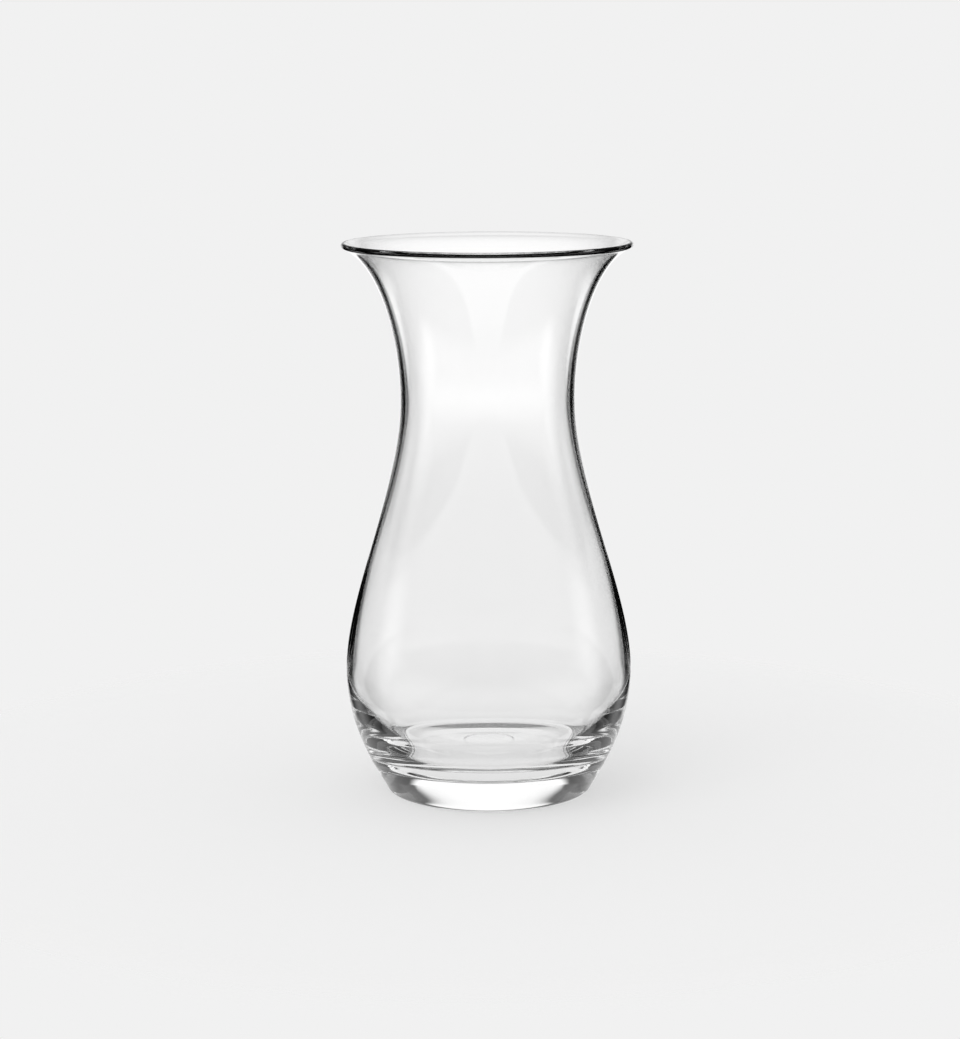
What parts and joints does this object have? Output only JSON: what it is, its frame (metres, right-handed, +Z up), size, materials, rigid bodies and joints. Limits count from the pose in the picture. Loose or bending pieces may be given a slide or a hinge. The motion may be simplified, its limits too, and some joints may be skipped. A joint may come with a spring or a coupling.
{
  "type": "glass flower vase",
  "caption": "Clear glass flower vase with a heavy base, round belly, narrow neck and flared mouth with a rounded lip; it stands on a flat foot ring and holds cut stems in water.",
  "frame": {"origin": "centre of the foot ring, on the surface the vase stands on", "axes": "+Z up along the axis of the round form; X and Y are alike because the form is turned"},
  "size_m": [0.146, 0.146, 0.28],
  "materials": {
    "clear_glass": "clear, colourless, fire-polished blown glass"
  },
  "bodies": {
    "root": {"vase_body": "clear_glass"}
  },
  "joints": []
}
